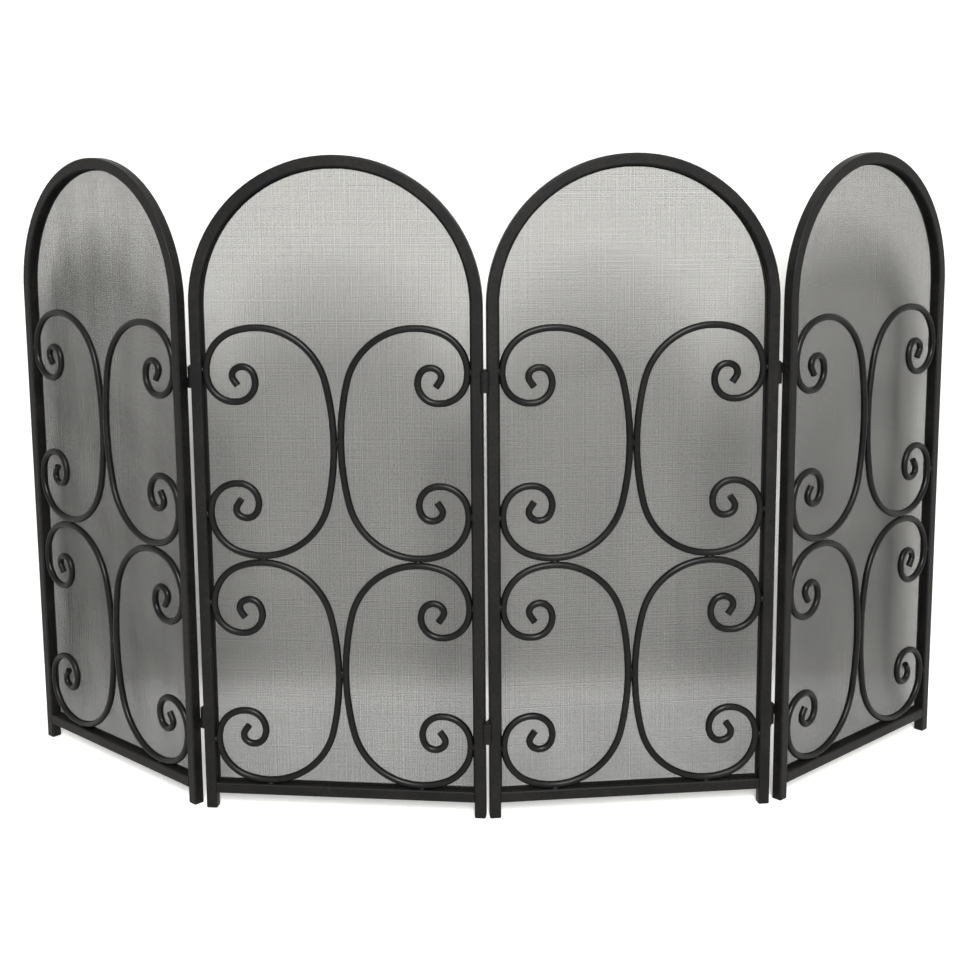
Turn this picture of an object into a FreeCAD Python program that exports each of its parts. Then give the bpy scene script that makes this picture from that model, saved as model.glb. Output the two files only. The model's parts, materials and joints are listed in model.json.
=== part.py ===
"""Folding fireplace screen: four arched tube panels with wire mesh and scrollwork, on barrel hinges.

Millimetres, +Z up, +Y to the back. The origin is on the floor, under the middle of the standing screen.
Every panel is drawn upright in its own frame (x along the panel, y to its back, z up from the floor) and
then turned to its place. The two middle panels bow forward a little and the wings fold back behind them.
"""
import FreeCAD
import Part
import Sketcher
import math
import os

from FreeCAD import Placement, Rotation, Vector

# ---------------------------------------------------------------- driving dimensions
SIZES = [
    ("panel_height", 756.0, "floor to the top of every arch"),
    ("middle_width", 330.0, "outside width of the two middle panels"),
    ("wing_width", 328.0, "outside width of the two wings, which pass each other when folded away"),
    ("tube_size", 13.0, "outside size of the square frame tube"),
    ("tube_wall", 1.2, "wall of the frame tube"),
    ("tube_corner", 2.0, "outside corner radius of the frame tube"),
    ("rail_lift", 18.5, "floor to the underside of a bottom rail"),
    ("rod_diameter", 8.0, "round rod of the scrolls"),
    ("rod_setback", 1.5, "front face of a frame to the front of its scrolls"),
    ("weld_gap", 0.1, "room left between a scroll and what it is welded to"),
    ("arch_clear", 20.5, "springing line of an arch down to the top of the scrolls"),
    ("shoulder_share", 0.556, "radius over the shoulder of a scroll, for each mm of its width"),
    ("cheek_share", 0.328, "radius of the first turn of its spiral"),
    ("belly_share", 0.219, "radius of the second turn"),
    ("curl_share", 0.156, "radius of the third turn"),
    ("eye_share", 0.0944, "radius of the fourth turn"),
    ("tip_share", 0.0625, "radius of the last turn"),
    ("tail_share", 0.055, "straight end of the rod"),
    ("crown_turn", 19.2, "degrees that the shoulder runs on past the crown"),
    ("cheek_turn", 83.4, "degrees of the first turn"),
    ("belly_turn", 87.4, "degrees of the second turn"),
    ("curl_turn", 106.3, "degrees of the third turn"),
    ("eye_turn", 103.7, "degrees of the fourth turn"),
    ("tip_turn", 85.0, "degrees of the last turn"),
    ("mesh_thickness", 0.8, "over both layers of the woven wire"),
    ("mesh_play", 0.1, "play of the mesh in its edging"),
    ("edging_width", 2.0, "width of the folded edging, seen from the front"),
    ("edging_wall", 0.8, "sheet of the edging"),
    ("edging_gap", 0.3, "back of the scrolls to the edging"),
    ("plug_flange", 3.0, "foot plug under the end of a leg"),
    ("plug_stem", 12.0, "foot plug inside a leg"),
    ("plug_play", 0.1, "play of a stem in the tube, each side"),
    ("plug_chamfer", 0.8, "bevel round the underside of a foot plug"),
    ("hinge_gap", 6.0, "space between two stiles when the screen is flat"),
    ("top_hinge_height", 509.0, "floor to the middle of the upper hinges"),
    ("base_hinge_height", 105.0, "floor to the middle of the lower hinges"),
    ("barrel_diameter", 10.0, "hinge knuckles"),
    ("barrel_clear", 0.35, "room between a knuckle and the stile that turns round it"),
    ("knuckle_height", 11.85, "one knuckle"),
    ("knuckle_play", 0.3, "between the two knuckles of a hinge"),
    ("leaf_thickness", 1.8, "leaf that is welded to the side of a stile"),
    ("leaf_depth", 8.0, "how far a leaf reaches along the side of its stile"),
    ("pin_diameter", 4.0, "hinge pin"),
    ("pin_play", 0.05, "radial clearance of the pin"),
    ("pin_head_diameter", 7.0, "head that keeps the pin in"),
    ("pin_head_height", 1.6, "head of the pin"),
    ("pin_head_dome", 0.96, "rounding of the rim of the head"),
    ("pin_head_play", 0.2, "under the head of the pin"),
    ("bow_angle", 12.5, "degrees between the middle panels and one flat plane, as it stands"),
    ("wing_angle", 36.8, "degrees that a wing stands folded back behind its middle panel"),
]

doc = FreeCAD.newDocument("fireplace_screen")
sheet = doc.addObject("Spreadsheet::Sheet", "Sizes")
for row, (alias, value, note) in enumerate(SIZES, start=1):
    sheet.set("A%d" % row, alias)
    sheet.set("B%d" % row, str(value))
    sheet.setAlias("B%d" % row, alias)
    sheet.set("C%d" % row, note)
doc.recompute()


def size(alias):
    """The number that a cell of the sheet holds."""
    return float(getattr(sheet, alias))


# ---------------------------------------------------------------- sketch helpers
def start_sketch(body, name, plane_role, offset=None, turn=None):
    """A sketch on one of the body's own planes, moved by formulas for its x, y and z."""
    sketch = body.newObject("Sketcher::SketchObject", name)
    plane = [item for item in body.Origin.OriginFeatures if item.Role == plane_role][0]
    sketch.AttachmentSupport = [(plane, "")]
    sketch.MapMode = "FlatFace"
    if turn is not None:
        sketch.AttachmentOffset = Placement(Vector(0, 0, 0), turn)
    for axis, formula in (offset or {}).items():
        sketch.setExpression("AttachmentOffset.Base.%s" % axis, formula)
    return sketch


def set_datum(sketch, constraint, name, formula):
    """Adds a dimension to the sketch and binds it to a formula of the sheet's cells."""
    index = sketch.addConstraint(constraint)
    sketch.renameConstraint(index, name)
    sketch.setExpression("Constraints.%s" % name, formula)


def value_of(formula):
    """Works out a formula of the sheet's cells, for drawing a sketch near its final size."""
    return float(sheet.evalExpression(formula.replace("Sizes.", "")))


def add_circle(sketch, name, radius):
    """A circle round the sketch's origin."""
    circle = sketch.addGeometry(Part.Circle(Vector(0, 0, 0), Vector(0, 0, 1), value_of(radius)))
    sketch.addConstraint(Sketcher.Constraint("Coincident", circle, 3, -1, 1))
    set_datum(sketch, Sketcher.Constraint("Radius", circle, value_of(radius)), name, radius)


def add_rounded_square(sketch, name, side, corner):
    """A square with rounded corners, centred on the sketch's origin."""
    half = value_of(side) / 2
    radius = value_of(corner)
    flat = half - radius
    lines = []
    arcs = []
    for quarter in range(4):
        turn = Rotation(Vector(0, 0, 1), 90 * quarter)
        first = turn.multVec(Vector(-flat, -half, 0))
        last = turn.multVec(Vector(flat, -half, 0))
        centre = turn.multVec(Vector(flat, -flat, 0))
        circle = Part.Circle(centre, Vector(0, 0, 1), radius)
        start = math.radians(-90 + 90 * quarter)
        lines.append(sketch.addGeometry(Part.LineSegment(first, last)))
        arcs.append(sketch.addGeometry(Part.ArcOfCircle(circle, start, start + math.pi / 2)))
    for quarter in range(4):
        line = lines[quarter]
        arc = arcs[quarter]
        following = lines[(quarter + 1) % 4]
        sketch.addConstraint(Sketcher.Constraint("Tangent", line, 2, arc, 1))
        sketch.addConstraint(Sketcher.Constraint("Tangent", arc, 2, following, 1))
        sketch.addConstraint(Sketcher.Constraint("Vertical" if quarter % 2 else "Horizontal", line))
    for arc in arcs[1:]:
        sketch.addConstraint(Sketcher.Constraint("Equal", arcs[0], arc))
    sketch.addConstraint(Sketcher.Constraint("Symmetric", arcs[0], 3, arcs[2], 3, -1, 1))
    set_datum(sketch, Sketcher.Constraint("Radius", arcs[0], radius), name + "_corner", corner)
    centres = "(%s) - 2 * (%s)" % (side, corner)
    across = Sketcher.Constraint("DistanceX", arcs[3], 3, arcs[0], 3, 2 * flat)
    set_datum(sketch, across, name + "_across", centres)
    upward = Sketcher.Constraint("DistanceY", arcs[0], 3, arcs[1], 3, 2 * flat)
    set_datum(sketch, upward, name + "_upward", centres)


def add_tube_section(sketch):
    """The two outlines of the square tube's wall."""
    hollow = "Sizes.tube_size - 2 * Sizes.tube_wall"
    add_rounded_square(sketch, "outside", "Sizes.tube_size", "Sizes.tube_corner")
    add_rounded_square(sketch, "inside", hollow, "Sizes.tube_corner - Sizes.tube_wall")


def add_arched_loop(sketch, name, half_width, base, spring):
    """A round-topped doorway shape: a flat base, two upright sides and a half circle."""
    reach = value_of(half_width)
    low = value_of(base)
    high = value_of(spring)
    left = sketch.addGeometry(Part.LineSegment(Vector(-reach, low, 0), Vector(-reach, high, 0)))
    right = sketch.addGeometry(Part.LineSegment(Vector(reach, low, 0), Vector(reach, high, 0)))
    bottom = sketch.addGeometry(Part.LineSegment(Vector(-reach, low, 0), Vector(reach, low, 0)))
    circle = Part.Circle(Vector(0, high, 0), Vector(0, 0, 1), reach)
    arch = sketch.addGeometry(Part.ArcOfCircle(circle, 0, math.pi))
    sketch.addConstraint(Sketcher.Constraint("Tangent", right, 2, arch, 1))
    sketch.addConstraint(Sketcher.Constraint("Tangent", left, 2, arch, 2))
    sketch.addConstraint(Sketcher.Constraint("Coincident", left, 1, bottom, 1))
    sketch.addConstraint(Sketcher.Constraint("Coincident", right, 1, bottom, 2))
    sketch.addConstraint(Sketcher.Constraint("Vertical", left))
    sketch.addConstraint(Sketcher.Constraint("Vertical", right))
    sketch.addConstraint(Sketcher.Constraint("Horizontal", bottom))
    sketch.addConstraint(Sketcher.Constraint("PointOnObject", arch, 3, -2))
    set_datum(sketch, Sketcher.Constraint("Radius", arch, reach), name + "_half_width", half_width)
    set_datum(sketch, Sketcher.Constraint("DistanceY", -1, 1, bottom, 1, low), name + "_base", base)
    set_datum(sketch, Sketcher.Constraint("DistanceY", -1, 1, arch, 3, high), name + "_spring", spring)


def add_pad(body, sketch, name, length):
    """Thickens a sketch along its normal."""
    pad = body.newObject("PartDesign::Pad", name)
    pad.Profile = sketch
    pad.setExpression("Length", length)
    return pad


# ---------------------------------------------------------------- where the panels stand
HALF_TUBE = size("tube_size") / 2
CORNER_TO_AXIS = size("barrel_diameter") / 2 + size("barrel_clear") + size("tube_corner")
CORNER_ASIDE = size("hinge_gap") / 2 + size("tube_corner")
# a knuckle nests between two stiles, so its axis is this far proud of their faces
AXIS_PROUD = math.sqrt(CORNER_TO_AXIS ** 2 - CORNER_ASIDE ** 2) - size("tube_corner")
AXIS_DEPTH = HALF_TUBE + AXIS_PROUD
BOW = size("bow_angle") / 2
FOLD = BOW + size("wing_angle")

PANELS = {
    "left_wing": {"width": "Sizes.wing_width", "yaw": -FOLD},
    "left_centre": {"width": "Sizes.middle_width", "yaw": -BOW},
    "right_centre": {"width": "Sizes.middle_width", "yaw": BOW},
    "right_wing": {"width": "Sizes.wing_width", "yaw": FOLD},
}


def turned(yaw, x, y):
    """A vector of a panel's frame, turned into the screen's."""
    return Rotation(Vector(0, 0, 1), yaw).multVec(Vector(x, y, 0))


def axis_in_panel(panel, side, face):
    """A hinge axis in a panel's frame: side -1 left or 1 right, face -1 front or 1 back."""
    aside = value_of(PANELS[panel]["width"]) / 2 + size("hinge_gap") / 2
    return side * aside, face * AXIS_DEPTH


def stand_beside(axis, panel, side, face):
    """The panel's middle, when the hinge on that side of it lies on the axis."""
    return axis - turned(PANELS[panel]["yaw"], *axis_in_panel(panel, side, face))


def axis_beside(panel, side, face):
    """The place of the hinge axis on that side of a panel."""
    offset = turned(PANELS[panel]["yaw"], *axis_in_panel(panel, side, face))
    return PANELS[panel]["middle"] + offset


# the middle hinge axis is in front of the panels and the outer two are behind them
PANELS["left_centre"]["middle"] = stand_beside(Vector(0, 0, 0), "left_centre", 1, -1)
PANELS["right_centre"]["middle"] = stand_beside(Vector(0, 0, 0), "right_centre", -1, -1)
PANELS["left_wing"]["middle"] = stand_beside(axis_beside("left_centre", -1, 1), "left_wing", 1, 1)
PANELS["right_wing"]["middle"] = stand_beside(axis_beside("right_centre", 1, 1), "right_wing", -1, 1)

# the whole screen is moved so that its box is centred on the origin
outer_stile = (size("wing_width") - size("tube_size")) / 2
far_stile = PANELS["right_wing"]["middle"] + turned(FOLD, outer_stile, 0)
corner_flat = HALF_TUBE - size("tube_corner")
corner_reach = corner_flat * (math.sin(math.radians(FOLD)) + math.cos(math.radians(FOLD)))
back_of_box = far_stile.y + corner_reach + size("tube_corner")
front_of_box = -size("barrel_diameter") / 2
CENTRING = Vector(0, -(front_of_box + back_of_box) / 2, 0)
for stand in PANELS.values():
    stand["middle"] = stand["middle"] + CENTRING
    stand["place"] = Placement(stand["middle"], Rotation(Vector(0, 0, 1), stand["yaw"]))

HINGES = {
    "left": {"axis": axis_beside("left_centre", -1, 1), "panels": ("left_wing", "left_centre"), "face": 1},
    "centre": {"axis": CENTRING, "panels": ("left_centre", "right_centre"), "face": -1},
    "right": {"axis": axis_beside("right_centre", 1, 1), "panels": ("right_centre", "right_wing"), "face": 1},
}

subparts = []


def keep(shape_object, name, place):
    """Names a finished sub-part and stands it in its place."""
    shape_object.Label = name
    shape_object.Placement = place
    subparts.append(shape_object)


# ---------------------------------------------------------------- frame, rail and feet
def arched_frame(panel):
    """One tube, bent to a half circle at the top, whose legs run down past the bottom rail."""
    width = PANELS[panel]["width"]
    reach = "(%s - Sizes.tube_size) / 2" % width
    spring = "Sizes.panel_height - %s / 2" % width
    body = doc.addObject("PartDesign::Body", panel + "_frame_body")
    path = start_sketch(body, panel + "_frame_path", "XZ_Plane")
    half = value_of(reach)
    low = size("plug_flange")
    high = value_of(spring)
    left = path.addGeometry(Part.LineSegment(Vector(-half, low, 0), Vector(-half, high, 0)))
    right = path.addGeometry(Part.LineSegment(Vector(half, low, 0), Vector(half, high, 0)))
    circle = Part.Circle(Vector(0, high, 0), Vector(0, 0, 1), half)
    arch = path.addGeometry(Part.ArcOfCircle(circle, 0, math.pi))
    path.addConstraint(Sketcher.Constraint("Tangent", right, 2, arch, 1))
    path.addConstraint(Sketcher.Constraint("Tangent", left, 2, arch, 2))
    path.addConstraint(Sketcher.Constraint("Vertical", left))
    path.addConstraint(Sketcher.Constraint("Vertical", right))
    path.addConstraint(Sketcher.Constraint("PointOnObject", arch, 3, -2))
    set_datum(path, Sketcher.Constraint("Radius", arch, half), "half_width", reach)
    set_datum(path, Sketcher.Constraint("DistanceY", -1, 1, arch, 3, high), "spring", spring)
    set_datum(path, Sketcher.Constraint("DistanceY", -1, 1, left, 1, low), "left_foot", "Sizes.plug_flange")
    set_datum(path, Sketcher.Constraint("DistanceY", -1, 1, right, 1, low), "right_foot", "Sizes.plug_flange")
    at_foot = {"x": "-" + reach, "z": "Sizes.plug_flange"}
    section = start_sketch(body, panel + "_frame_section", "XY_Plane", at_foot)
    add_tube_section(section)
    pipe = body.newObject("PartDesign::AdditivePipe", panel + "_frame_pipe")
    pipe.Profile = section
    pipe.Spine = path
    keep(body, panel + "_arched_frame", PANELS[panel]["place"])


def bottom_rail(panel):
    """A length of the same tube, butt-welded between the legs."""
    length = "%s - 2 * Sizes.tube_size" % PANELS[panel]["width"]
    body = doc.addObject("PartDesign::Body", panel + "_rail_body")
    at_end = {"y": "Sizes.rail_lift + Sizes.tube_size / 2", "z": "-(%s) / 2" % length}
    section = start_sketch(body, panel + "_rail_section", "YZ_Plane", at_end)
    add_tube_section(section)
    add_pad(body, section, panel + "_rail_pad", length)
    keep(body, panel + "_bottom_rail", PANELS[panel]["place"])


def foot_plug(panel, side_name, side):
    """A plug with a stem inside the leg and a bevelled flange that stands on the floor."""
    body = doc.addObject("PartDesign::Body", "%s_%s_plug_body" % (panel, side_name))
    under_leg = "%d * (%s - Sizes.tube_size) / 2" % (side, PANELS[panel]["width"])
    flange = start_sketch(body, body.Name + "_flange", "XY_Plane", {"x": under_leg})
    add_rounded_square(flange, "flange", "Sizes.tube_size", "Sizes.tube_corner")
    add_pad(body, flange, body.Name + "_flange_pad", "Sizes.plug_flange")
    stem = start_sketch(body, body.Name + "_stem", "XY_Plane", {"x": under_leg, "z": "Sizes.plug_flange"})
    across = "Sizes.tube_size - 2 * Sizes.tube_wall - 2 * Sizes.plug_play"
    add_rounded_square(stem, "stem", across, "Sizes.tube_corner - Sizes.tube_wall")
    pad = add_pad(body, stem, body.Name + "_stem_pad", "Sizes.plug_stem")
    doc.recompute()
    lowest = ["Edge%d" % (number + 1) for number, edge in enumerate(pad.Shape.Edges)
              if edge.BoundBox.ZMax < size("plug_flange") / 2]
    bevel = body.newObject("PartDesign::Chamfer", body.Name + "_bevel")
    bevel.Base = (pad, lowest)
    bevel.setExpression("Size", "Sizes.plug_chamfer")
    keep(body, "%s_%s_foot_plug" % (panel, side_name), PANELS[panel]["place"])


# ---------------------------------------------------------------- scrolls
def half_scroll(width, half_height):
    """Corner points of the arcs from the middle of a scroll's long side to its upper end.

    The points are (aside, up), with aside growing towards the stile. A long arc rises from the
    middle, the shoulder arc carries it over the crown, and each turn after it is tighter.
    """
    names = ("shoulder", "cheek", "belly", "curl", "eye", "tip")
    radii = [size(name + "_share") * width for name in names]
    turns = [size(name + "_turn") for name in names[1:]]
    crown = math.radians(size("crown_turn"))
    shoulder = radii[0]
    crown_to_stile = (shoulder - radii[1]) * math.sin(crown) + radii[1]
    crown_aside = width - crown_to_stile
    side_radius = (crown_aside ** 2 + half_height ** 2 - 2 * half_height * shoulder)
    side_radius = side_radius / (2 * (crown_aside - shoulder))
    side_turn = math.degrees(math.atan2(half_height - shoulder, side_radius - crown_aside))
    radii = [side_radius] + radii
    turns = [side_turn, 90 - side_turn + size("crown_turn")] + turns

    heading = 90.0
    point = Vector(0, 0, 0)
    arcs = []
    for radius, turn in zip(radii, turns):
        to_centre = Vector(math.cos(math.radians(heading - 90)), math.sin(math.radians(heading - 90)), 0)
        centre = point + to_centre * radius
        spoke = point - centre
        middle = centre + Rotation(Vector(0, 0, 1), -turn / 2).multVec(spoke)
        last = centre + Rotation(Vector(0, 0, 1), -turn).multVec(spoke)
        arcs.append((point, middle, last))
        heading -= turn
        point = last
    ahead = Vector(math.cos(math.radians(heading)), math.sin(math.radians(heading)), 0)
    return arcs, point + ahead * size("tail_share") * width


def scroll(panel, level_name, level, side_name, side):
    """A rod bent to a C: its back leans on the other scroll and its cheeks on the stile."""
    width_of_panel = value_of(PANELS[panel]["width"])
    rod = size("rod_diameter")
    opening = width_of_panel / 2 - size("tube_size")
    back_aside = (rod + size("weld_gap")) / 2
    width = opening - size("weld_gap") - rod / 2 - back_aside
    rail_top = size("rail_lift") + size("tube_size")
    stack_top = size("panel_height") - width_of_panel / 2 - size("arch_clear")
    height = (stack_top - rail_top) / 2 - size("weld_gap")
    middle = rail_top + size("weld_gap") + height / 2 + level * (height + size("weld_gap"))
    depth = -size("tube_size") / 2 + size("rod_setback") + rod / 2
    arcs, tip = half_scroll(width, (height - rod) / 2)

    def placed(point, up):
        return Vector(side * (back_aside + point.x), depth, middle + up * point.y)

    edges = [Part.makeLine(placed(tip, -1), placed(arcs[-1][2], -1))]
    for first, between, last in reversed(arcs):
        edges.append(Part.Arc(placed(last, -1), placed(between, -1), placed(first, -1)).toShape())
    for first, between, last in arcs:
        edges.append(Part.Arc(placed(first, 1), placed(between, 1), placed(last, 1)).toShape())
    edges.append(Part.makeLine(placed(arcs[-1][2], 1), placed(tip, 1)))

    name = "%s_%s_%s_scroll" % (panel, level_name, side_name)
    path = doc.addObject("Part::Feature", name + "_path")
    path.Shape = Part.Wire(edges)
    section = doc.addObject("Part::Circle", name + "_section")
    section.setExpression("Radius", "Sizes.rod_diameter / 2")
    along = placed(arcs[-1][2], -1) - placed(tip, -1)
    section.Placement = Placement(placed(tip, -1), Rotation(Vector(0, 0, 1), along))
    rod_sweep = doc.addObject("Part::Sweep", name + "_sweep")
    rod_sweep.Sections = [section]
    rod_sweep.Spine = (path, [])
    rod_sweep.Solid = True
    rod_sweep.Frenet = False
    keep(rod_sweep, name, PANELS[panel]["place"])


# ---------------------------------------------------------------- mesh and its edging
SCROLL_BACK = "Sizes.tube_size / 2 - Sizes.rod_setback - Sizes.rod_diameter"
EDGING_FRONT = "-(%s) + Sizes.edging_gap" % SCROLL_BACK


def arch_inside(panel, inset):
    """Formulas for the opening of a frame, drawn in by an inset: half width, base and spring."""
    width = PANELS[panel]["width"]
    half = "%s / 2 - Sizes.tube_size - (%s)" % (width, inset)
    base = "Sizes.rail_lift + Sizes.tube_size + (%s)" % inset
    return half, base, "Sizes.panel_height - %s / 2" % width


def mesh_panel(panel):
    """The woven wire, as one thin sheet that reaches into its edging on every side."""
    body = doc.addObject("PartDesign::Body", panel + "_mesh_body")
    back = "%s + Sizes.edging_wall + Sizes.mesh_play + Sizes.mesh_thickness" % EDGING_FRONT
    outline = start_sketch(body, panel + "_mesh_outline", "XZ_Plane", {"z": "-(%s)" % back})
    add_arched_loop(outline, "edge", *arch_inside(panel, "Sizes.edging_wall + Sizes.mesh_play"))
    add_pad(body, outline, panel + "_mesh_pad", "Sizes.mesh_thickness")
    keep(body, panel + "_wire_mesh", PANELS[panel]["place"])


def mesh_edging(panel):
    """Sheet folded round the edge of the mesh: a front lip, a web and a back lip."""
    body = doc.addObject("PartDesign::Body", panel + "_edging_body")
    slot = "Sizes.mesh_thickness + 2 * Sizes.mesh_play"
    layers = (
        ("front_lip", "0", "Sizes.edging_wall", "Sizes.edging_width"),
        ("web", "Sizes.edging_wall", slot, "Sizes.edging_wall"),
        ("back_lip", "Sizes.edging_wall + %s" % slot, "Sizes.edging_wall", "Sizes.edging_width"),
    )
    for name, behind, thickness, width in layers:
        back = "-(%s + %s + %s)" % (EDGING_FRONT, behind, thickness)
        ring = start_sketch(body, "%s_edging_%s" % (panel, name), "XZ_Plane", {"z": back})
        add_arched_loop(ring, "outer", *arch_inside(panel, "0"))
        add_arched_loop(ring, "inner", *arch_inside(panel, width))
        add_pad(body, ring, "%s_edging_%s_pad" % (panel, name), thickness)
    keep(body, panel + "_mesh_edging", PANELS[panel]["place"])


# ---------------------------------------------------------------- hinges
# a leaf starts half way through the wall of its knuckle
LEAF_ROOT = "Sizes.barrel_diameter / 4 + Sizes.pin_diameter / 4"


def hinge_knuckle(name, leaf_side, level, hinge_height, place):
    """Half a barrel hinge: a bored knuckle, and a leaf for the side of its stile.

    The leaf points to +y, and it is on the left (-1) or the right (1) of the axis.
    """
    body = doc.addObject("PartDesign::Body", name + "_body")
    if level == "lower":
        floor = "%s - Sizes.knuckle_play / 2 - Sizes.knuckle_height" % hinge_height
    else:
        floor = "%s + Sizes.knuckle_play / 2" % hinge_height
    ring = start_sketch(body, name + "_ring", "XY_Plane", {"z": floor})
    add_circle(ring, "barrel", "Sizes.barrel_diameter / 2")
    add_circle(ring, "bore", "Sizes.pin_diameter / 2 + Sizes.pin_play")
    add_pad(body, ring, name + "_barrel", "Sizes.knuckle_height")

    leaf = start_sketch(body, name + "_leaf", "XY_Plane", {"z": floor})
    outside = size("hinge_gap") / 2
    inside = outside - size("leaf_thickness")
    near = value_of(LEAF_ROOT)
    far = AXIS_PROUD + size("leaf_depth")
    corners = [Vector(leaf_side * outside, near, 0), Vector(leaf_side * inside, near, 0),
               Vector(leaf_side * inside, far, 0), Vector(leaf_side * outside, far, 0)]
    lines = []
    for number in range(4):
        lines.append(leaf.addGeometry(Part.LineSegment(corners[number], corners[(number + 1) % 4])))
    for number in range(4):
        leaf.addConstraint(Sketcher.Constraint("Coincident", lines[number], 2, lines[(number + 1) % 4], 1))
        leaf.addConstraint(Sketcher.Constraint("Vertical" if number % 2 else "Horizontal", lines[number]))
    first = (lines[0], 1, -1, 1) if leaf_side < 0 else (-1, 1, lines[0], 1)
    second = (lines[0], 1, lines[0], 2) if leaf_side < 0 else (lines[0], 2, lines[0], 1)
    set_datum(leaf, Sketcher.Constraint("DistanceX", *first, outside), "outside", "Sizes.hinge_gap / 2")
    set_datum(leaf, Sketcher.Constraint("DistanceX", *second, outside - inside), "thickness",
              "Sizes.leaf_thickness")
    set_datum(leaf, Sketcher.Constraint("DistanceY", -1, 1, lines[0], 1, near), "root", LEAF_ROOT)
    set_datum(leaf, Sketcher.Constraint("DistanceY", -1, 1, lines[2], 1, far), "reach",
              "%.6f + Sizes.leaf_depth" % AXIS_PROUD)
    add_pad(body, leaf, name + "_leaf_pad", "Sizes.knuckle_height")
    keep(body, name, place)


def hinge_pin(name, hinge_height, place):
    """A pin through both knuckles, with a head on top."""
    body = doc.addObject("PartDesign::Body", name + "_body")
    foot = "%s - Sizes.knuckle_play / 2 - Sizes.knuckle_height" % hinge_height
    shank = start_sketch(body, name + "_shank", "XY_Plane", {"z": foot})
    add_circle(shank, "shank", "Sizes.pin_diameter / 2")
    length = "2 * Sizes.knuckle_height + Sizes.knuckle_play + Sizes.pin_head_play"
    add_pad(body, shank, name + "_shank_pad", length)
    head = start_sketch(body, name + "_head", "XY_Plane", {"z": "%s + %s" % (foot, length)})
    add_circle(head, "head", "Sizes.pin_head_diameter / 2")
    pad = add_pad(body, head, name + "_head_pad", "Sizes.pin_head_height")
    doc.recompute()
    top = max(edge.BoundBox.ZMax for edge in pad.Shape.Edges)
    rim = ["Edge%d" % (number + 1) for number, edge in enumerate(pad.Shape.Edges)
           if edge.BoundBox.ZMin > top - size("pin_head_height") / 2]
    dome = body.newObject("PartDesign::Fillet", name + "_dome")
    dome.Base = (pad, rim)
    dome.setExpression("Radius", "Sizes.pin_head_dome")
    keep(body, name, place)


def hinge(hinge_name, level_name, hinge_height):
    """One hinge: the left panel carries the lower knuckle and the pin, the right one the upper."""
    stand = HINGES[hinge_name]
    for side, side_name, panel, level in ((-1, "left", stand["panels"][0], "lower"),
                                          (1, "right", stand["panels"][1], "upper")):
        # a hinge behind the panels is the front one turned half round
        half_turn = 180 if stand["face"] > 0 else 0
        leaf_side = -side if stand["face"] > 0 else side
        place = Placement(stand["axis"], Rotation(Vector(0, 0, 1), PANELS[panel]["yaw"] + half_turn))
        name = "%s_%s_hinge_%s_knuckle" % (hinge_name, level_name, side_name)
        hinge_knuckle(name, leaf_side, level, hinge_height, place)
    hinge_pin("%s_%s_hinge_pin" % (hinge_name, level_name), hinge_height,
              Placement(stand["axis"], Rotation()))


# ---------------------------------------------------------------- build
for panel_name in PANELS:
    arched_frame(panel_name)
    bottom_rail(panel_name)
    for plug_side_name, plug_side in (("left", -1), ("right", 1)):
        foot_plug(panel_name, plug_side_name, plug_side)
    for scroll_level_name, scroll_level in (("lower", 0), ("upper", 1)):
        for scroll_side_name, scroll_side in (("left", -1), ("right", 1)):
            scroll(panel_name, scroll_level_name, scroll_level, scroll_side_name, scroll_side)
    mesh_panel(panel_name)
    mesh_edging(panel_name)
for each_hinge in HINGES:
    hinge(each_hinge, "top", "Sizes.top_hinge_height")
    hinge(each_hinge, "base", "Sizes.base_hinge_height")
doc.recompute()

# ---------------------------------------------------------------- check and write
for item in doc.Objects:
    if "Invalid" in item.State or "Error" in item.State:
        raise RuntimeError("%s failed: %s" % (item.Name, item.State))
for item in subparts:
    if item.Shape.isNull() or not item.Shape.isValid() or len(item.Shape.Solids) != 1:
        raise RuntimeError("%s is not one valid solid" % item.Label)

os.makedirs("parts", exist_ok=True)
for item in subparts:
    item.Shape.exportStep("parts/%s.step" % item.Label)

print("%d sub-parts" % len(subparts))
for hinge_name, stand in HINGES.items():
    print("%s hinge axis at %.4f %.4f" % (hinge_name, stand["axis"].x, stand["axis"].y))
for panel_name, stand in PANELS.items():
    print("%s middle at %.4f %.4f, yaw %.4f" % (panel_name, stand["middle"].x, stand["middle"].y,
                                                stand["yaw"]))
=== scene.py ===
# %% [markdown]
# # A folding fireplace screen
# Four round-topped frames of square steel tube stand in a shallow bow. Each holds fine woven wire,
# with four scrolls of round rod in front of it, and the whole screen is painted matt black.
# The frame file already holds every tube, rod, hinge and foot at its real size and place, so this
# lesson adds what a workshop would add last: the woven wire, the welds, the paint and the light.

# %% Load the frame
import bpy
import json
import math
import random
from mathutils import Matrix, Vector


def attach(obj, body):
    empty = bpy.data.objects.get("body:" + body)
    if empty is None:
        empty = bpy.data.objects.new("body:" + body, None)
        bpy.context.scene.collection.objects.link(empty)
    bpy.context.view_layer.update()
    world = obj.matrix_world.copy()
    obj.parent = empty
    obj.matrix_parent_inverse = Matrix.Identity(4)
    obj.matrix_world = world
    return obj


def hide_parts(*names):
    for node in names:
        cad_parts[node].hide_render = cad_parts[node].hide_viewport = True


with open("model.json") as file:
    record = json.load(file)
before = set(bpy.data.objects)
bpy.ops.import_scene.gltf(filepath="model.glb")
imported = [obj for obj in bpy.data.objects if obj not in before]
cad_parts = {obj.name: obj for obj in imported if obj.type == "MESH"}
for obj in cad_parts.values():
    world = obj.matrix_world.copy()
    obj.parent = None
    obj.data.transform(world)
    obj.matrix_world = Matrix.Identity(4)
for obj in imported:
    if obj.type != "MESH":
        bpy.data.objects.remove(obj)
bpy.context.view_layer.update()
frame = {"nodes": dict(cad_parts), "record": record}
PANELS = ("left_wing", "left_centre", "right_centre", "right_wing")
MM = 0.001

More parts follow.
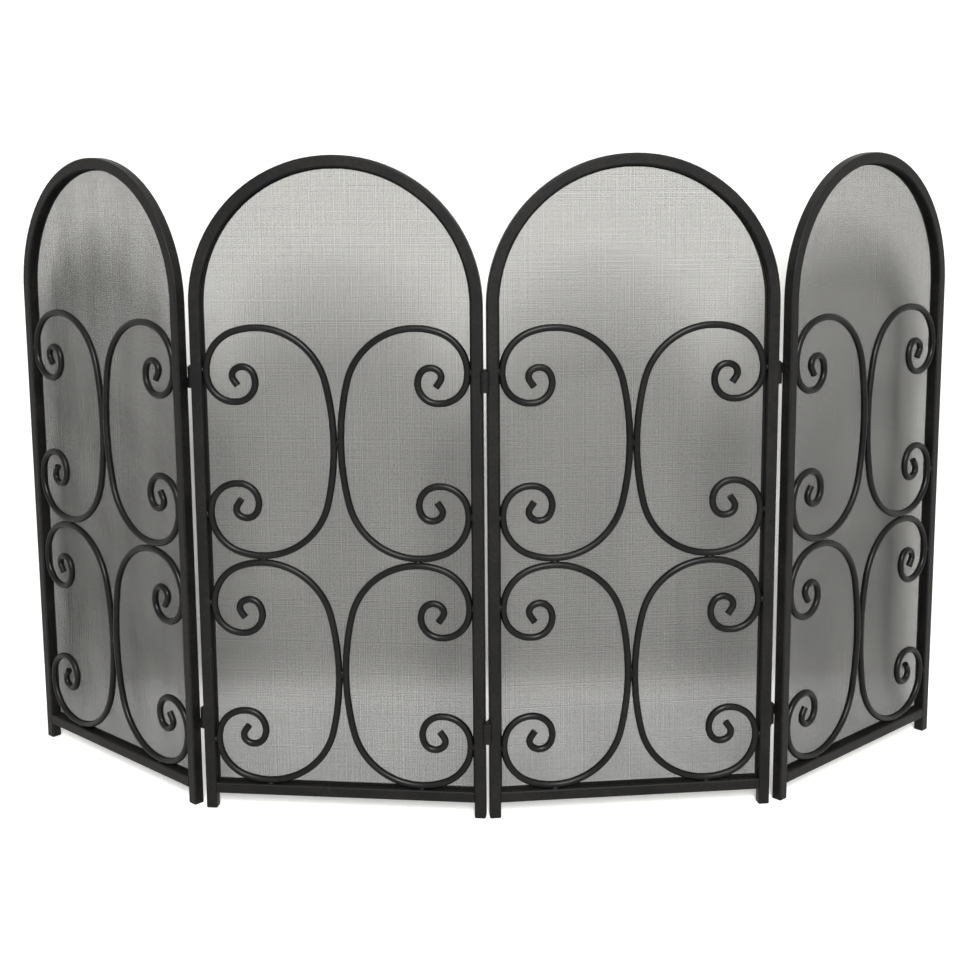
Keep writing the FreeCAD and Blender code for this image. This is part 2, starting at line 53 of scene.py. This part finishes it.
# %% [markdown]
# ## Where each panel stands
# The two foot plugs of a panel lie under its two legs. The line between them gives the panel's
# direction, and the point half way gives its middle. With those, every part of a panel can be made
# upright and straight, and then turned to its place, which is how the real panels were made too.

# %% Panel places
def node_points(node, turn_back=None):
    """Every corner of a frame node, turned back into a panel's own directions if asked."""
    points = [vertex.co for vertex in frame["nodes"][node].data.vertices]
    return [turn_back @ point for point in points] if turn_back else points


def middle_of(points):
    """The middle of the box round some points."""
    return Vector([(min(axis) + max(axis)) / 2 for axis in zip(*points)])


def panel_place(panel):
    """The matrix that takes a panel from its own frame to where it stands."""
    left = middle_of(node_points(panel + "_left_foot_plug"))
    right = middle_of(node_points(panel + "_right_foot_plug"))
    along = right - left
    middle = (left + right) / 2
    turn = math.atan2(along.y, along.x)
    return Matrix.Translation((middle.x, middle.y, 0)) @ Matrix.Rotation(turn, 4, "Z")


PLACES = {panel: panel_place(panel) for panel in PANELS}


def own_points(panel, node):
    """The corners of a node in its panel's own frame."""
    return node_points(node, PLACES[panel].inverted())


def own_box(panel, node):
    """The lowest and highest corner of a node in its panel's own frame."""
    axes = list(zip(*own_points(panel, node)))
    return Vector([min(axis) for axis in axes]), Vector([max(axis) for axis in axes])


for panel in PANELS:
    turn = math.degrees(PLACES[panel].to_euler().z)
    print(panel, "is turned", round(turn, 2), "degrees")

# %% [markdown]
# ## Colours and nodes
# Paint makers give colours as hex codes, which are display values. Blender mixes light in linear
# values, so one function turns the code into those. A second one adds a node, sets it and joins it.

# %% Colour and node helpers
def colour(hex_code):
    """A display colour such as 1f1e1d as a linear colour with alpha."""
    channels = []
    for start in (0, 2, 4):
        value = int(hex_code[start:start + 2], 16) / 255
        channels.append(value / 12.92 if value <= 0.04045 else ((value + 0.055) / 1.055) ** 2.4)
    return (*channels, 1.0)


def add_node(material, kind, settings=None, inputs=None, links=None):
    """Adds a node; settings are its own values, inputs its sockets, links take other sockets."""
    node = material.node_tree.nodes.new(kind)
    for name, value in (settings or {}).items():
        setattr(node, name, value)
    for name, value in (inputs or {}).items():
        node.inputs[name].default_value = value
    for name, socket in (links or {}).items():
        material.node_tree.links.new(socket, node.inputs[name])
    return node


def new_material(name):
    """An empty material with its output node."""
    material = bpy.data.materials.new(name)
    material.use_nodes = True
    material.node_tree.nodes.clear()
    return material, add_node(material, "ShaderNodeOutputMaterial")


# %% [markdown]
# ## Camera
# The screen is seen from a little above the height of its arches, close enough for the wings to
# turn away clearly. A small vertical shift frames it without tipping the camera, so uprights lean
# only as much as they do to the eye.

# %% Camera
CAMERA_PLACE = (0.0011, -1.7356, 0.7378)
CAMERA_DOWN = 0.1545
CAMERA_ROLL = -0.0072
CAMERA_LENS = 54.58
CAMERA_SHIFT = -0.0885

camera_data = bpy.data.cameras.new("camera")
camera = bpy.data.objects.new("camera", camera_data)
bpy.context.scene.collection.objects.link(camera)
camera_data.lens = CAMERA_LENS
camera_data.sensor_width = 36
camera_data.shift_y = CAMERA_SHIFT
camera_data.dof.use_dof = False
tilt = Matrix.Rotation(math.pi / 2 - CAMERA_DOWN, 4, "X") @ Matrix.Rotation(CAMERA_ROLL, 4, "Z")
camera.matrix_world = Matrix.Translation(CAMERA_PLACE) @ tilt
bpy.context.scene.camera = camera
bpy.context.scene.view_settings.view_transform = "Standard"
print("camera looks down", round(math.degrees(CAMERA_DOWN), 1), "degrees")

# %% [markdown]
# ## Floor and backdrop
# The screen stands on a roll of white paper that sweeps up behind it. The paper is
# one strip: flat, then a bend, then upright. It is made as a plane whose far edge is extruded along
# the bend. The wire shades the paper behind it, so the mesh reads grey against white. The paper can
# be seen through from its back, and a second flat sheet carries the floor on behind it, so that the
# screen also stands on white when it is looked at from behind.

# %% Paper sweep
PAPER_NEAR = -1.8
PAPER_BEND_START = 0.23
PAPER_BEND_RADIUS = 0.06
PAPER_TOP = 4.0
PAPER_HALF_WIDTH = 1.6
BEND_STEPS = 12
FLOOR_BEHIND_END = 1.6


def deselect():
    """Nothing selected, so that an operator acts only on what comes next."""
    if bpy.context.object and bpy.context.object.mode != "OBJECT":
        bpy.ops.object.mode_set(mode="OBJECT")
    bpy.ops.object.select_all(action="DESELECT")


def flat_sheet(name, near, far):
    """A flat sheet on the floor, as wide as the paper, from one depth to another."""
    deselect()
    bpy.ops.mesh.primitive_plane_add(size=1, location=(0, (near + far) / 2, 0))
    sheet = bpy.context.object
    sheet.name = name
    sheet.scale = (2 * PAPER_HALF_WIDTH, far - near, 1)
    bpy.ops.object.transform_apply(location=True, rotation=True, scale=True)
    return sheet


floor_behind = flat_sheet("floor_behind", PAPER_BEND_START, FLOOR_BEHIND_END)
paper = flat_sheet("paper_sweep", PAPER_NEAR, PAPER_BEND_START)
for edge in paper.data.edges:
    edge.select = all(paper.data.vertices[corner].co.y > 0 for corner in edge.vertices)
for vertex in paper.data.vertices:
    vertex.select = vertex.co.y > 0
for face in paper.data.polygons:
    face.select = False
bpy.ops.object.mode_set(mode="EDIT")
step_angle = math.pi / 2 / BEND_STEPS
for step in range(BEND_STEPS):
    before = step * step_angle
    after = before + step_angle
    rise = PAPER_BEND_RADIUS * (math.cos(before) - math.cos(after))
    run = PAPER_BEND_RADIUS * (math.sin(after) - math.sin(before))
    bpy.ops.mesh.extrude_region_move(TRANSFORM_OT_translate={"value": (0, run, rise)})
rest_of_wall = PAPER_TOP - PAPER_BEND_RADIUS
bpy.ops.mesh.extrude_region_move(TRANSFORM_OT_translate={"value": (0, 0, rest_of_wall)})
bpy.ops.object.mode_set(mode="OBJECT")
bpy.ops.object.shade_smooth()
upward = paper.data.polygons[0].normal.z
if upward < 0:
    paper.data.flip_normals()
print("the paper has", len(paper.data.polygons), "faces")

# %% Paper material
def straight_rays(owner):
    """A socket that is 1 where the camera, a reflection or clear glass looks, and 0 for light."""
    path = add_node(owner, "ShaderNodeLightPath")
    mirrored = add_node(owner, "ShaderNodeMath", {"operation": "MAXIMUM"},
                        links={0: path.outputs["Is Glossy Ray"], 1: path.outputs["Is Transmission Ray"]})
    either = add_node(owner, "ShaderNodeMath", {"operation": "MAXIMUM"},
                      links={0: path.outputs["Is Camera Ray"], 1: mirrored.outputs[0]})
    return either.outputs[0]


PAPER_WHITE = "fbfaf5"
PAPER_GREY = "aeaeae"
FLOOR_LIFT = 0.3
LIFT_FROM_SLOPE = 0.5

paper_material, output = new_material("matt_white_paper")
paper_seen = straight_rays(paper_material)
paper_tint = add_node(paper_material, "ShaderNodeMix", {"data_type": "RGBA"},
                      {"A": colour(PAPER_GREY), "B": colour(PAPER_WHITE)}, {"Factor": paper_seen})
matt = add_node(paper_material, "ShaderNodeBsdfDiffuse", links={"Color": paper_tint.outputs["Result"]})
facing = add_node(paper_material, "ShaderNodeNewGeometry")
facing_up = add_node(paper_material, "ShaderNodeSeparateXYZ", links={0: facing.outputs["Normal"]})
floor_lift = add_node(paper_material, "ShaderNodeMapRange",
                      inputs={"From Min": LIFT_FROM_SLOPE, "From Max": 1.0, "To Min": 0.0,
                              "To Max": FLOOR_LIFT},
                      links={"Value": facing_up.outputs["Z"]})
lift = add_node(paper_material, "ShaderNodeMath", {"operation": "MULTIPLY"},
                links={0: floor_lift.outputs["Result"], 1: paper_seen})
glow = add_node(paper_material, "ShaderNodeEmission", links={"Strength": lift.outputs[0]})
lit = add_node(paper_material, "ShaderNodeAddShader", links={0: matt.outputs[0], 1: glow.outputs[0]})
clear = add_node(paper_material, "ShaderNodeBsdfTransparent")
paper_mix = add_node(paper_material, "ShaderNodeMixShader",
                     links={0: facing.outputs["Backfacing"], 1: lit.outputs[0], 2: clear.outputs[0]})
paper_material.node_tree.links.new(paper_mix.outputs[0], output.inputs["Surface"])
for sheet in (paper, floor_behind):
    sheet.data.materials.append(paper_material)
print("the paper is", round(2 * PAPER_HALF_WIDTH, 1), "m wide, and", PAPER_TOP, "m high")

# %% [markdown]
# ## Light
# The main lamp is a large soft box in front of the screen and somewhat above it. It shades the
# paper behind the wire, more towards the floor than behind the arches. A second soft box overhead
# draws the bright line along the tops of the tubes and rods. A dim even sky fills the rest.

# %% Lamps and sky
def soft_box(name, place, target, width, height, strength):
    """A rectangular lamp that faces a point. Its strength is watts."""
    lamp = bpy.data.lights.new(name, "AREA")
    lamp.shape = "RECTANGLE"
    lamp.size = width
    lamp.size_y = height
    lamp.energy = strength
    holder = bpy.data.objects.new(name, lamp)
    bpy.context.scene.collection.objects.link(holder)
    holder.location = place
    holder.rotation_euler = (Vector(target) - Vector(place)).to_track_quat("-Z", "Y").to_euler()
    return holder


SKY_FILL = 0.07
soft_box("front_soft_box", (0.35, -4.9, 3.1), (0, 0, 0.4), 1.2, 1.9, 400)
soft_box("overhead_soft_box", (0.3, -0.9, 3.0), (0, 0.1, 0.3), 2.4, 1.0, 24)

sky = bpy.data.worlds.new("studio_sky")
bpy.context.scene.world = sky
sky.use_nodes = True
sky.node_tree.nodes.clear()
sky_output = add_node(sky, "ShaderNodeOutputWorld")
sky_glow = add_node(sky, "ShaderNodeBackground", inputs={"Color": (1, 1, 1, 1), "Strength": SKY_FILL})
sky_white = add_node(sky, "ShaderNodeBackground", inputs={"Color": (1, 1, 1, 1), "Strength": 1.0})
sky_seen = add_node(sky, "ShaderNodeMixShader",
                    links={0: straight_rays(sky), 1: sky_glow.outputs[0], 2: sky_white.outputs[0]})
sky.node_tree.links.new(sky_seen.outputs[0], sky_output.inputs["Surface"])
print("two soft boxes and a dim sky")

# %% [markdown]
# ## Black stove paint
# The tube, rod and hinges wear a sprayed heat-proof black. It dries almost matt, with a fine
# orange-peel grain of about a millimetre, and handling leaves it a little uneven: cloudy patches
# where it is glossier, and faint dust. The same recipe, with small changes, serves every steel part.

# %% Painted steel
PAINT_IOR = 1.42
PAINT_SPECULAR = 0.22
CLOUD_SIZE = 45 * MM
SPECK_SIZE = 4 * MM
GLOSS_BELOW = 0.07
GLOSS_ABOVE = 0.09


def painted_steel(name, paint, dust, roughness, grain_mm, grain_depth_mm):
    """Sprayed black paint on steel: cloudy gloss, a little dust and an orange-peel grain."""
    material, end = new_material(name)
    place = add_node(material, "ShaderNodeTexCoord").outputs["Object"]
    clouds = add_node(material, "ShaderNodeTexNoise", inputs={"Scale": 1 / CLOUD_SIZE, "Detail": 4.0},
                      links={"Vector": place})
    specks = add_node(material, "ShaderNodeTexNoise", inputs={"Scale": 1 / SPECK_SIZE, "Detail": 6.0},
                      links={"Vector": place})
    grain = add_node(material, "ShaderNodeTexNoise",
                     inputs={"Scale": 1 / (grain_mm * MM), "Detail": 2.0}, links={"Vector": place})
    both = add_node(material, "ShaderNodeMath", {"operation": "MULTIPLY"},
                    links={0: clouds.outputs["Fac"], 1: specks.outputs["Fac"]})
    share = add_node(material, "ShaderNodeMapRange",
                     inputs={"From Min": 0.18, "From Max": 0.42, "To Min": 0.0, "To Max": 1.0},
                     links={"Value": both.outputs[0]})
    tint = add_node(material, "ShaderNodeMix", {"data_type": "RGBA"},
                    {"A": colour(paint), "B": colour(dust)}, {"Factor": share.outputs["Result"]})
    shine = add_node(material, "ShaderNodeMapRange",
                     inputs={"From Min": 0.3, "From Max": 0.7, "To Min": roughness - GLOSS_BELOW,
                             "To Max": roughness + GLOSS_ABOVE},
                     links={"Value": clouds.outputs["Fac"]})
    peel = add_node(material, "ShaderNodeBump",
                    inputs={"Strength": 0.6, "Distance": grain_depth_mm * MM},
                    links={"Height": grain.outputs["Fac"]})
    paint_shader = add_node(material, "ShaderNodeBsdfPrincipled",
                            inputs={"IOR": PAINT_IOR, "Specular IOR Level": PAINT_SPECULAR},
                            links={"Base Color": tint.outputs["Result"],
                                   "Roughness": shine.outputs["Result"],
                                   "Normal": peel.outputs["Normal"]})
    material.node_tree.links.new(paint_shader.outputs[0], end.inputs["Surface"])
    return material


tube_paint = painted_steel("stove_paint_on_tube", "0a0909", "1a1917", 0.5, 1.1, 0.06)
rod_paint = painted_steel("stove_paint_on_rod", "080808", "171614", 0.34, 1.4, 0.09)
hinge_paint = painted_steel("stove_paint_on_hinges", "0c0b0b", "1a1918", 0.44, 0.9, 0.07)
edging_paint = painted_steel("stove_paint_on_sheet", "0a0a0a", "161514", 0.55, 0.9, 0.04)
print("painted steel for the tube, the rod, the hinges and the edging")

# %% [markdown]
# ## Foot plugs
# The plugs are moulded plastic. Its dull black skin has the same clouds and grain, only finer, so
# the paint recipe serves it too.

# %% Foot plugs
plug_plastic = painted_steel("moulded_black_plastic", "0e0e0e", "1a1a19", 0.55, 0.6, 0.02)
print("plastic for the foot plugs")

# %% [markdown]
# ## Woven wire
# The wire cloth is a fine spark mesh, woven from wire a third of a millimetre thick. Paint has closed
# its crossings, so the two sets of wires can lie in two layers that touch. One upright wire is made
# and repeated across the panel, one level wire is made and repeated up it, and both sets are then
# drawn in to the round arch. Stretching such cloth in a frame leaves soft ripples, so every wire
# bows backwards a little, most of all in the left wing. Wires with four sides keep it light.

# %% Wire material
WIRE_CLOUD_SIZE = 60 * MM

wire_paint, wire_end = new_material("stove_paint_on_wire")
wire_place = add_node(wire_paint, "ShaderNodeTexCoord").outputs["Object"]
wire_clouds = add_node(wire_paint, "ShaderNodeTexNoise", inputs={"Scale": 1 / WIRE_CLOUD_SIZE, "Detail": 3.0},
                       links={"Vector": wire_place})
wire_tint = add_node(wire_paint, "ShaderNodeMix", {"data_type": "RGBA"},
                     {"A": colour("121110"), "B": colour("22211e")},
                     {"Factor": wire_clouds.outputs["Fac"]})
wire_shader = add_node(wire_paint, "ShaderNodeBsdfPrincipled",
                       inputs={"Roughness": 0.5, "IOR": PAINT_IOR, "Specular IOR Level": PAINT_SPECULAR},
                       links={"Base Color": wire_tint.outputs["Result"]})
wire_paint.node_tree.links.new(wire_shader.outputs[0], wire_end.inputs["Surface"])
print("paint for the wire")

# %% One wire, repeated
WIRE_PITCH = 0.9 * MM
WIRE_THICKNESS = 0.31 * MM
WIRE_SIDES = 4
UPRIGHT_STEPS = 28
LEVEL_STEPS = 14


def repeated_wire(name, length, steps, start, turn, step, count):
    """One wire in short steps, repeated by an array: its middle starts at start and moves by step."""
    deselect()
    bpy.ops.mesh.primitive_cylinder_add(vertices=WIRE_SIDES, radius=WIRE_THICKNESS / 2, depth=length,
                                        end_fill_type="NGON", location=(0, 0, 0))
    wires = bpy.context.object
    wires.name = name
    bpy.ops.object.mode_set(mode="EDIT")
    for cut in range(1, steps):
        bpy.ops.mesh.select_all(action="SELECT")
        bpy.ops.mesh.bisect(plane_co=(0, 0, length * (cut / steps - 0.5)), plane_no=(0, 0, 1))
    bpy.ops.object.mode_set(mode="OBJECT")
    wires.rotation_euler = turn
    wires.location = start
    bpy.ops.object.transform_apply(location=True, rotation=True, scale=True)
    array = wires.modifiers.new("repeat", "ARRAY")
    array.count = count
    array.use_relative_offset = False
    array.use_constant_offset = True
    array.constant_offset_displace = step
    bpy.ops.object.modifier_apply(modifier="repeat")
    return wires


# %% Uneven spacing
SPACING_SPREAD = 0.09


def loosen(wires, axis, count, seed):
    """Moves each wire a little along an axis, as a loom never beats two wires quite alike."""
    draws = random.Random(seed)
    shifts = [draws.gauss(0, SPACING_SPREAD * WIRE_PITCH) for number in range(count)]
    corners = len(wires.data.vertices) // count
    for vertex in wires.data.vertices:
        vertex.co[axis] += shifts[vertex.index // corners]


# %% Ripples in the cloth
RIPPLE_DEPTH = {"left_wing": 2.4 * MM, "left_centre": 0.5 * MM, "right_centre": 0.5 * MM,
                "right_wing": 0.8 * MM}
RIPPLE_COUNT = 7
RIPPLE_EDGE = 30 * MM
RIPPLE_LENGTHS = (60 * MM, 190 * MM)
RIPPLE_HEADING = 1.5


def ripples(panel):
    """A function of a place on the panel that says how far back the cloth bows there."""
    draws = random.Random(panel)
    waves = []
    for number in range(RIPPLE_COUNT):
        length = draws.uniform(*RIPPLE_LENGTHS)
        heading = draws.uniform(-RIPPLE_HEADING, RIPPLE_HEADING)
        waves.append((math.cos(heading) / length, math.sin(heading) / length, draws.uniform(0, 1)))

    def depth_at(x, z, room):
        total = sum(math.sin(2 * math.pi * (a * x + b * z + phase)) for a, b, phase in waves)
        share = 0.5 + 0.5 * max(-1, min(1, total / 3))
        return RIPPLE_DEPTH[panel] * share * min(room / RIPPLE_EDGE, 1)

    return depth_at


# %% Weaving one panel
def woven_wire(panel):
    """The wire cloth of one panel, drawn in to the arch and stood in its place."""
    low, high = own_box(panel, panel + "_wire_mesh")
    reach = high.x
    spring = high.z - reach
    depth = (low.y + high.y) / 2
    across = int((high.x - low.x) / WIRE_PITCH) - 1
    upward = int((high.z - low.z) / WIRE_PITCH) - 1
    first_x = -(across - 1) * WIRE_PITCH / 2
    first_z = low.z + WIRE_PITCH
    height = high.z - low.z
    uprights = repeated_wire(panel + "_uprights", height, UPRIGHT_STEPS,
                             (first_x, depth - WIRE_THICKNESS / 2, low.z + height / 2), (0, 0, 0),
                             (WIRE_PITCH, 0, 0), across)
    levels = repeated_wire(panel + "_levels", 2 * reach, LEVEL_STEPS,
                           (0, depth + WIRE_THICKNESS / 2, first_z), (0, math.pi / 2, 0),
                           (0, 0, WIRE_PITCH), upward)
    loosen(uprights, 0, across, panel + "_uprights")
    loosen(levels, 2, upward, panel + "_levels")
    for vertex in uprights.data.vertices:
        top = spring + math.sqrt(max(reach ** 2 - vertex.co.x ** 2, 0))
        vertex.co.z = low.z + (vertex.co.z - low.z) * (top - low.z) / height
    for vertex in levels.data.vertices:
        over = max(vertex.co.z - spring, 0)
        vertex.co.x *= math.sqrt(max(reach ** 2 - over ** 2, 0)) / reach
    deselect()
    levels.select_set(True)
    uprights.select_set(True)
    bpy.context.view_layer.objects.active = uprights
    bpy.ops.object.join()
    cloth = bpy.context.object
    cloth.name = panel + "_woven_wire"
    bow = ripples(panel)
    for vertex in cloth.data.vertices:
        to_arch = reach - math.hypot(vertex.co.x, max(vertex.co.z - spring, 0))
        room = max(min(to_arch, vertex.co.z - low.z), 0)
        vertex.co.y += bow(vertex.co.x, vertex.co.z, room)
    bpy.ops.object.shade_smooth_by_angle(angle=math.radians(100))
    cloth.data.transform(PLACES[panel])
    cloth.data.materials.clear()
    cloth.data.materials.append(wire_paint)
    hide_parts(panel + "_wire_mesh")
    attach(cloth, panel)
    print(cloth.name, "has", across, "upright and", upward, "level wires")


for panel in PANELS:
    woven_wire(panel)

# %% [markdown]
# ## Welds
# Every scroll is tacked where it touches a stile, the rail or another scroll. A tack is a small
# frozen drop of steel, never quite round: long and upright in the narrow gap beside a stile or
# between two scrolls, wide and low on the rail. One drop is made from a sphere, pushed a little out
# of shape, and copied to every touching point, where each copy is turned and stretched its own way.

# %% Where the scrolls touch
CONTACT_BAND = 0.15 * MM


def average(points):
    """The middle of a handful of points."""
    return sum(points, Vector()) / len(points)


def touching_points(panel, node):
    """Where a scroll touches: two places on its stile, one on its neighbour and one below it."""
    points = own_points(panel, node)
    low, high = own_box(panel, node)
    middle_z = (low.z + high.z) / 2
    outward = 1 if high.x + low.x > 0 else -1
    outer = high.x if outward > 0 else low.x
    inner = low.x if outward > 0 else high.x
    near_stile = [point for point in points if abs(point.x - outer) < CONTACT_BAND]
    near_other = [point for point in points if abs(point.x - inner) < CONTACT_BAND]
    near_base = [point for point in points if abs(point.z - low.z) < CONTACT_BAND]
    upper = average([point for point in near_stile if point.z > middle_z])
    lower = average([point for point in near_stile if point.z < middle_z])
    return {"stile": (upper, lower), "neighbour": average(near_other), "below": average(near_base)}


# %% Weld drops
STILE_DROP = (6.0 * MM, 8.4 * MM, 9.5 * MM)
NEIGHBOUR_DROP = (4.6 * MM, 7.8 * MM, 13.0 * MM)
RAIL_DROP = (11.0 * MM, 7.8 * MM, 5.2 * MM)
DROP_SPREAD = 0.15
DROP_TILT = 0.25
DROP_ROUGHEN = 0.05
DROP_SEED = 7
drop_turns = random.Random(DROP_SEED)


def drop_pattern():
    """The drop that every tack is copied from: a ball pushed a little out of shape."""
    deselect()
    bpy.ops.mesh.primitive_ico_sphere_add(subdivisions=3, radius=0.5, location=(0, 0, 0))
    ball = bpy.context.object
    ball.name = "weld_drop_pattern"
    bpy.ops.object.mode_set(mode="EDIT")
    bpy.ops.mesh.select_all(action="SELECT")
    bpy.ops.transform.vertex_random(offset=DROP_ROUGHEN, seed=DROP_SEED)
    bpy.ops.mesh.vertices_smooth(factor=0.5, repeat=2)
    bpy.ops.object.mode_set(mode="OBJECT")
    return ball


def weld_drop(place, size):
    """A copy of the pattern with its own mesh: spun, stretched, tilted a little and set at a place."""
    drop = bpy.data.objects.new("weld_drop", pattern.data.copy())
    bpy.context.scene.collection.objects.link(drop)
    spin = Matrix.Rotation(drop_turns.uniform(0, 2 * math.pi), 4, "Z")
    roll = Matrix.Rotation(drop_turns.uniform(0, 2 * math.pi), 4, "X")
    uneven = [side * drop_turns.uniform(1 - DROP_SPREAD, 1 + DROP_SPREAD) for side in size]
    tilt = Matrix.Rotation(drop_turns.uniform(-DROP_TILT, DROP_TILT), 4, "Y")
    drop.data.transform(Matrix.Translation(place) @ tilt @ Matrix.Diagonal((*uneven, 1.0)) @ spin @ roll)
    return drop


def weld_drops(panel):
    """All the tacks of one panel, joined to one piece."""
    drops = []
    for level in ("lower", "upper"):
        for side in ("left", "right"):
            touching = touching_points(panel, "%s_%s_%s_scroll" % (panel, level, side))
            for place in touching["stile"]:
                drops.append(weld_drop(place, STILE_DROP))
            if side == "left":
                drops.append(weld_drop(touching["neighbour"], NEIGHBOUR_DROP))
            drops.append(weld_drop(touching["below"], RAIL_DROP))
    deselect()
    for drop in drops:
        drop.select_set(True)
    bpy.context.view_layer.objects.active = drops[0]
    bpy.ops.object.join()
    welds = bpy.context.object
    welds.name = panel + "_scroll_welds"
    bpy.ops.object.shade_smooth()
    welds.data.transform(PLACES[panel])
    welds.data.materials.append(rod_paint)
    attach(welds, panel)
    print(welds.name, "has", len(drops), "drops")


pattern = drop_pattern()
for panel in PANELS:
    weld_drops(panel)
deselect()
pattern.select_set(True)
bpy.ops.object.delete()

# %% [markdown]
# ## Paint the frame's own parts
# The tubes, rods, hinges, edging and feet already have their right shape, so they only get a finish.

# %% Paint the nodes
FINISHES = {"frame": tube_paint, "scrolls": rod_paint, "hinges": hinge_paint, "edging": edging_paint,
            "foot_plugs": plug_plastic, "mesh": wire_paint}
slots = {part["node"]: part["material_slot"] for part in frame["record"]["subparts"]}
for name, node in frame["nodes"].items():
    node.data.materials.clear()
    node.data.materials.append(FINISHES[slots[name]])
print("painted", len(frame["nodes"]), "parts")
